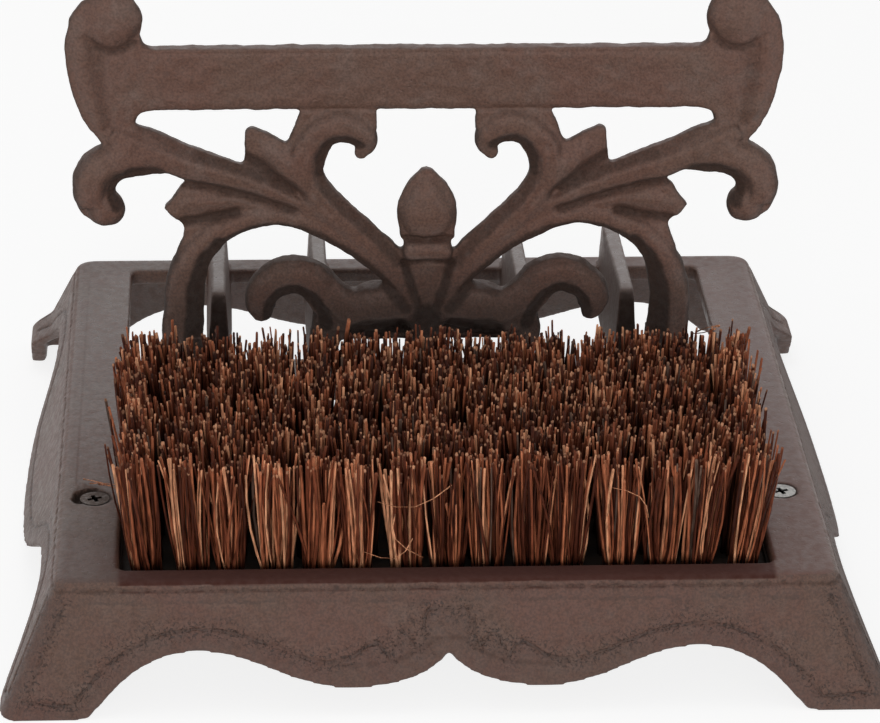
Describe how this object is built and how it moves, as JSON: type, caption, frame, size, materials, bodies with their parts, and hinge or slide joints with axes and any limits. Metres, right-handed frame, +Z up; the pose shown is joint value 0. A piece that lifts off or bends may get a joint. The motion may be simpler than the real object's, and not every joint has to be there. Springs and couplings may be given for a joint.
{
  "type": "boot scraper",
  "caption": "Cast iron boot scraper: a footed base with a stiff brush, a scrolled upright panel with a straight scraping blade, and a grate of ribs behind it.",
  "frame": {"origin": "middle of the footprint, on the floor that the four feet stand on", "axes": "+X to the user's right, +Y from the brush in front to the grate at the rear, +Z up"},
  "size_m": [0.258, 0.266, 0.1599],
  "materials": {
    "iron": "matte brown sand-cast skin",
    "block": "dark stained hardwood",
    "bristle": "stiff plant fibre, cut ends",
    "zinc": "zinc plated"
  },
  "bodies": {
    "root": {"base_frame": "iron", "scraper_panel": "iron", "brush_block": "block", "bristle_row_1": "bristle", "bristle_row_2": "bristle", "bristle_row_3": "bristle", "bristle_row_4": "bristle", "bristle_row_5": "bristle", "bristle_row_6": "bristle", "bristle_row_7": "bristle", "brush_screws": "zinc", "panel_bolts": "zinc", "panel_washers": "zinc"}
  },
  "joints": []
}
